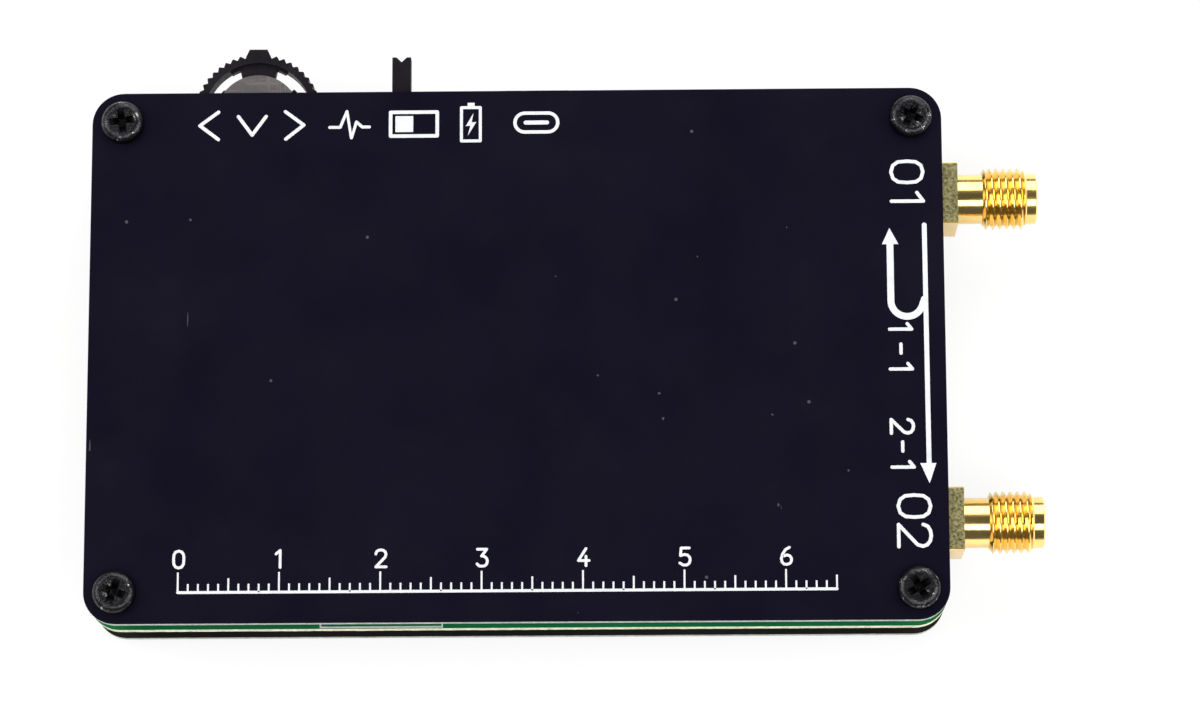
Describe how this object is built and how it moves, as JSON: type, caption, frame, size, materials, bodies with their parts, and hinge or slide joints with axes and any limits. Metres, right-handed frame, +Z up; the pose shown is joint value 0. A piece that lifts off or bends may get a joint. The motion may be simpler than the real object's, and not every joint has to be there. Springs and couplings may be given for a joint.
{
  "type": "antenna analyzer",
  "caption": "Pocket antenna analyzer: display, green board and battery stacked between black covers, with threaded coaxial ports, a jog wheel and a power slider.",
  "frame": {"origin": "middle of the bottom of the bounding box, on the table under the front screw heads", "axes": "+Z up out of the rear cover, +X towards the coaxial ports, +Y towards the jog wheel and power slider"},
  "size_m": [0.0952, 0.0588, 0.0136],
  "materials": {
    "cover_mask": "semi-gloss black solder mask over fibreglass",
    "board_mask": "green solder mask over fibreglass",
    "black_steel": "black zinc, glossy",
    "plated_brass": "nickel-plated brass",
    "gold": "polished gold plating",
    "white_insulator": "white fluoropolymer",
    "tinned_steel": "tinned sheet steel",
    "black_plastic": "moulded black plastic",
    "chip_plastic": "black moulding compound",
    "dark_metal": "worn brown-grey plated steel",
    "spring_steel": "spring steel",
    "contact_metal": "gold-flashed copper alloy",
    "cover_glass": "dark touch glass",
    "display_glass": "display glass, off",
    "white_plastic": "white moulded plastic",
    "clear_plastic": "clear acrylic",
    "foam_tape": "black foam tape",
    "ribbon": "amber film ribbon",
    "pouch_foil": "satin laminated foil",
    "amber_tape": "amber film tape",
    "red_wire": "red wire sleeve",
    "black_wire": "black wire sleeve",
    "ceramic": "tan ceramic",
    "light_lens": "clear light lens"
  },
  "bodies": {
    "chassis": {"rear_cover": "cover_mask", "main_board": "board_mask", "front_bezel": "cover_mask", "rear_screws": "black_steel", "front_screws": "black_steel", "rear_standoffs": "plated_brass", "front_standoffs": "plated_brass", "touch_glass": "cover_glass", "display_glass": "display_glass", "backlight_tray": "white_plastic", "light_guide": "clear_plastic", "display_tape": "foam_tape", "display_flex": "ribbon", "upper_port_body": "gold", "upper_port_dielectric": "white_insulator", "upper_port_contact": "gold", "lower_port_body": "gold", "lower_port_dielectric": "white_insulator", "lower_port_contact": "gold", "usb_shell": "tinned_steel", "usb_insulator": "black_plastic", "usb_contacts": "contact_metal", "jog_base": "black_plastic", "jog_terminals": "tinned_steel", "jog_push_spring": "spring_steel", "power_frame": "tinned_steel", "power_base": "black_plastic", "power_terminals": "tinned_steel", "battery_pouch": "pouch_foil", "battery_head": "amber_tape", "battery_tape": "foam_tape", "battery_lead_red": "red_wire", "battery_lead_black": "black_wire", "battery_plug": "white_plastic", "battery_socket": "white_plastic", "radio_shield": "tinned_steel", "mixers": "chip_plastic", "clock_chip": "chip_plastic", "processor": "chip_plastic", "processor_pins": "tinned_steel", "sound_converter": "chip_plastic", "crystal": "tinned_steel", "inductor": "chip_plastic", "power_chips": "chip_plastic", "capacitors": "ceramic", "resistors": "chip_plastic", "chip_ends": "tinned_steel", "status_light": "light_lens", "charge_light": "light_lens", "light_bases": "white_plastic"},
    "jog_slide_body": {"jog_carriage": "black_plastic", "jog_disc": "dark_metal", "jog_centring_spring": "spring_steel"},
    "jog_wheel_body": {"jog_wheel": "black_plastic"},
    "power_slider_body": {"power_slider": "black_plastic", "power_clip": "contact_metal"}
  },
  "joints": [
    {"name": "jog_push", "type": "slide", "parent": "chassis", "child": "jog_slide_body", "axis": [0, -1, 0], "range_m": [0, 0.0004], "stiffness_N_per_m": 3000, "springref_m": -0.0003, "deforming": ["jog_push_spring"]},
    {"name": "jog_turn", "type": "hinge", "parent": "jog_slide_body", "child": "jog_wheel_body", "pos_m": [-0.03105, 0.02251, 0.01], "axis": [0, 0, 1], "range_deg": [-12, 12], "stiffness_Nm_per_rad": 0.02, "deforming": ["jog_centring_spring"]},
    {"name": "power_slide", "type": "slide", "parent": "chassis", "child": "power_slider_body", "axis": [1, 0, 0], "range_m": [0, 0.002]}
  ]
}
